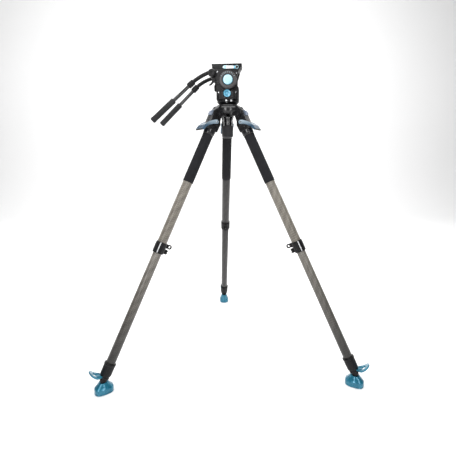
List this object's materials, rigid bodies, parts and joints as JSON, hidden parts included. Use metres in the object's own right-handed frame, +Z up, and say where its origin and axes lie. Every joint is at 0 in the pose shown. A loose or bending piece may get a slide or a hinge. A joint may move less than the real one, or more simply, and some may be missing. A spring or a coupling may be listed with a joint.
{
  "type": "video tripod with fluid head",
  "caption": "Three-legged telescopic camera stand with a levelling bowl, a damped pan and tilt head, a sliding quick-release plate and two telescopic pan handles.",
  "frame": {"origin": "on the floor, at the middle of the footprint box of the three feet", "axes": "+Z up, +Y towards the back leg, +X to the right with the head roughly facing +X and the two handles trailing to -X"},
  "size_m": [0.853, 0.7436, 1.0176],
  "materials": {
    "cast": "satin black coating",
    "black": "matt black",
    "rubber": "soft dull",
    "foam": "fine-grained foam",
    "carbon": "satin clear coat over a diagonal carbon weave",
    "steel": "turned",
    "blue": "anodised teal blue",
    "steelblue": "anodised light blue",
    "grey": "satin dark grey",
    "pale": "pale blue",
    "sky": "anodised sky blue"
  },
  "bodies": {
    "root": {"crown_bowl": "cast", "hinge_pin_left": "steel", "hinge_pin_right": "steel", "hinge_pin_back": "steel"},
    "leg_left": {"leg_shoulder_left": "cast", "upper_tube_left": "carbon", "leg_grip_left": "foam", "mid_collar_left": "black"},
    "tab_left": {"angle_tab_left": "steelblue"},
    "lever_left": {"height_lever_left": "steelblue"},
    "middle_left": {"middle_tube_left": "carbon", "lower_collar_left": "black"},
    "lower_left": {"lower_tube_left": "carbon", "foot_pedal_left": "blue"},
    "pad_left": {"foot_pad_left": "blue"},
    "leg_right": {"leg_shoulder_right": "cast", "upper_tube_right": "carbon", "leg_grip_right": "foam", "mid_collar_right": "black"},
    "tab_right": {"angle_tab_right": "steelblue"},
    "lever_right": {"height_lever_right": "steelblue"},
    "middle_right": {"middle_tube_right": "carbon", "lower_collar_right": "black"},
    "lower_right": {"lower_tube_right": "carbon", "foot_pedal_right": "blue"},
    "pad_right": {"foot_pad_right": "blue"},
    "leg_back": {"leg_shoulder_back": "cast", "upper_tube_back": "carbon", "leg_grip_back": "foam", "mid_collar_back": "black"},
    "tab_back": {"angle_tab_back": "steelblue"},
    "lever_back": {"height_lever_back": "steelblue"},
    "middle_back": {"middle_tube_back": "carbon", "lower_collar_back": "black"},
    "lower_back": {"lower_tube_back": "carbon", "foot_pedal_back": "blue"},
    "pad_back": {"foot_pad_back": "blue"},
    "ball": {"level_ball": "cast", "clamp_stem": "steel", "pan_base": "black"},
    "knob": {"clamp_knob": "rubber"},
    "pan": {"pan_housing": "black", "tilt_axle": "steel"},
    "pan_dial": {"pan_drag_dial": "sky"},
    "pan_knob": {"pan_lock_knob": "black"},
    "tilt": {"tilt_yoke": "grey", "plate_clamp": "black"},
    "tilt_dial": {"tilt_drag_dial": "grey", "dial_badge": "pale"},
    "balance": {"balance_dial": "grey"},
    "tilt_lever": {"tilt_lock_lever": "black"},
    "plate": {"camera_plate": "black"},
    "screw": {"camera_screw": "steel"},
    "plate_lever": {"plate_lock_lever": "steelblue"},
    "arm_near": {"handle_arm_near": "black", "handle_tube_near": "black"},
    "grip_near": {"handle_grip_near": "foam"},
    "arm_far": {"handle_arm_far": "black", "handle_tube_far": "black"},
    "grip_far": {"handle_grip_far": "foam"}
  },
  "joints": [
    {"name": "leg_hinge_left", "type": "hinge", "parent": "root", "child": "leg_left", "pos_m": [-0.0394, -0.14002, 0.852], "axis": [-0.5, 0.866, 0], "range_deg": [-26, 40]},
    {"name": "middle_slide_left", "type": "slide", "parent": "leg_left", "child": "middle_left", "axis": [-0.3836, -0.2215, -0.8966], "range_m": [-0.35, 0]},
    {"name": "lower_slide_left", "type": "slide", "parent": "middle_left", "child": "lower_left", "axis": [-0.3836, -0.2215, -0.8966], "range_m": [0, 0.33]},
    {"name": "height_lever_turn_left", "type": "hinge", "parent": "leg_left", "child": "lever_left", "pos_m": [-0.05091, -0.14667, 0.8251], "axis": [-0.5, 0.866, 0], "range_deg": [0, 40]},
    {"name": "angle_tab_pull_left", "type": "slide", "parent": "leg_left", "child": "tab_left", "axis": [-0.7764, -0.4483, 0.4429], "range_m": [0, 0.006], "stiffness_N_per_m": 400},
    {"name": "foot_tilt_left", "type": "hinge", "parent": "lower_left", "child": "pad_left", "pos_m": [-0.38769, -0.34111, 0.03792], "axis": [0.5, -0.866, 0], "range_deg": [-20, 20]},
    {"name": "leg_hinge_right", "type": "hinge", "parent": "root", "child": "leg_right", "pos_m": [0.0394, -0.14002, 0.852], "axis": [-0.5, -0.866, 0], "range_deg": [-26, 40]},
    {"name": "middle_slide_right", "type": "slide", "parent": "leg_right", "child": "middle_right", "axis": [0.3836, -0.2215, -0.8966], "range_m": [-0.35, 0]},
    {"name": "lower_slide_right", "type": "slide", "parent": "middle_right", "child": "lower_right", "axis": [0.3836, -0.2215, -0.8966], "range_m": [0, 0.33]},
    {"name": "height_lever_turn_right", "type": "hinge", "parent": "leg_right", "child": "lever_right", "pos_m": [0.05091, -0.14667, 0.8251], "axis": [-0.5, -0.866, 0], "range_deg": [0, 40]},
    {"name": "angle_tab_pull_right", "type": "slide", "parent": "leg_right", "child": "tab_right", "axis": [0.7764, -0.4483, 0.4429], "range_m": [0, 0.006], "stiffness_N_per_m": 400},
    {"name": "foot_tilt_right", "type": "hinge", "parent": "lower_right", "child": "pad_right", "pos_m": [0.38769, -0.34111, 0.03792], "axis": [0.5, 0.866, 0], "range_deg": [-20, 20]},
    {"name": "leg_hinge_back", "type": "hinge", "parent": "root", "child": "leg_back", "pos_m": [0, -0.07177, 0.852], "axis": [1, 0, 0], "range_deg": [-26, 40]},
    {"name": "middle_slide_back", "type": "slide", "parent": "leg_back", "child": "middle_back", "axis": [0, 0.4429, -0.8966], "range_m": [-0.35, 0]},
    {"name": "lower_slide_back", "type": "slide", "parent": "middle_back", "child": "lower_back", "axis": [0, 0.4429, -0.8966], "range_m": [0, 0.33]},
    {"name": "height_lever_turn_back", "type": "hinge", "parent": "leg_back", "child": "lever_back", "pos_m": [0, -0.05849, 0.8251], "axis": [1, 0, 0], "range_deg": [0, 40]},
    {"name": "angle_tab_pull_back", "type": "slide", "parent": "leg_back", "child": "tab_back", "axis": [0, 0.8966, 0.4429], "range_m": [0, 0.006], "stiffness_N_per_m": 400},
    {"name": "foot_tilt_back", "type": "hinge", "parent": "lower_back", "child": "pad_back", "pos_m": [0, 0.33039, 0.03792], "axis": [-1, 0, 0], "range_deg": [-20, 20]},
    {"name": "bowl_level", "type": "hinge", "parent": "root", "child": "ball", "pos_m": [0, -0.11727, 0.884], "axis": [1, 0, 0], "range_deg": [-9, 9]},
    {"name": "clamp_knob_turn", "type": "hinge", "parent": "ball", "child": "knob", "pos_m": [0, -0.11727, 0.81], "axis": [0, 0, 1], "continuous": true},
    {"name": "pan_turn", "type": "hinge", "parent": "ball", "child": "pan", "pos_m": [0, -0.11727, 0.9], "axis": [0, 0, 1], "continuous": true},
    {"name": "pan_drag_dial_turn", "type": "hinge", "parent": "pan", "child": "pan_dial", "pos_m": [-0.00444, -0.15098, 0.9202], "axis": [0.1305, 0.9914, 0], "range_deg": [-120, 120]},
    {"name": "pan_lock_knob_turn", "type": "hinge", "parent": "pan", "child": "pan_knob", "pos_m": [-0.04164, -0.11179, 0.944], "axis": [0.9914, -0.1305, 0], "range_deg": [0, 90]},
    {"name": "tilt_turn", "type": "hinge", "parent": "pan", "child": "tilt", "pos_m": [0.00297, -0.11767, 0.9625], "axis": [0.1305, 0.9914, 0], "range_deg": [-20, 60]},
    {"name": "tilt_drag_dial_turn", "type": "hinge", "parent": "tilt", "child": "tilt_dial", "pos_m": [-0.00212, -0.15633, 0.9625], "axis": [0.1305, 0.9914, 0], "range_deg": [-120, 120]},
    {"name": "balance_dial_turn", "type": "hinge", "parent": "tilt", "child": "balance", "pos_m": [0.00806, -0.079, 0.9625], "axis": [0.1305, 0.9914, 0], "range_deg": [-120, 120]},
    {"name": "tilt_lock_lever_turn", "type": "hinge", "parent": "tilt", "child": "tilt_lever", "pos_m": [-0.04548, -0.14861, 0.964], "axis": [0.1305, 0.9914, 0], "range_deg": [-50, 0]},
    {"name": "plate_slide", "type": "slide", "parent": "tilt", "child": "plate", "axis": [0.9914, -0.1305, 0], "range_m": [-0.03, 0.03]},
    {"name": "camera_screw_turn", "type": "hinge", "parent": "plate", "child": "screw", "pos_m": [0.00198, -0.11754, 1.011], "axis": [0, 0, 1], "continuous": true},
    {"name": "plate_lock_lever_turn", "type": "hinge", "parent": "tilt", "child": "plate_lever", "pos_m": [0.02742, -0.15417, 1.0036], "axis": [0.1305, 0.9914, 0], "range_deg": [0, 75]},
    {"name": "handle_hinge_near", "type": "hinge", "parent": "tilt", "child": "arm_near", "pos_m": [-0.05492, -0.1514, 0.9845], "axis": [0.1305, 0.9914, 0], "range_deg": [-10, 60]},
    {"name": "handle_grip_slide_near", "type": "slide", "parent": "arm_near", "child": "grip_near", "axis": [-0.7328, -0.004, -0.6804], "range_m": [0, 0.06]},
    {"name": "handle_hinge_far", "type": "hinge", "parent": "tilt", "child": "arm_far", "pos_m": [-0.04422, -0.0701, 0.9845], "axis": [0.1305, 0.9914, 0], "range_deg": [-10, 60]},
    {"name": "handle_grip_slide_far", "type": "slide", "parent": "arm_far", "child": "grip_far", "axis": [-0.7068, 0.1936, -0.6804], "range_m": [0, 0.06]}
  ]
}
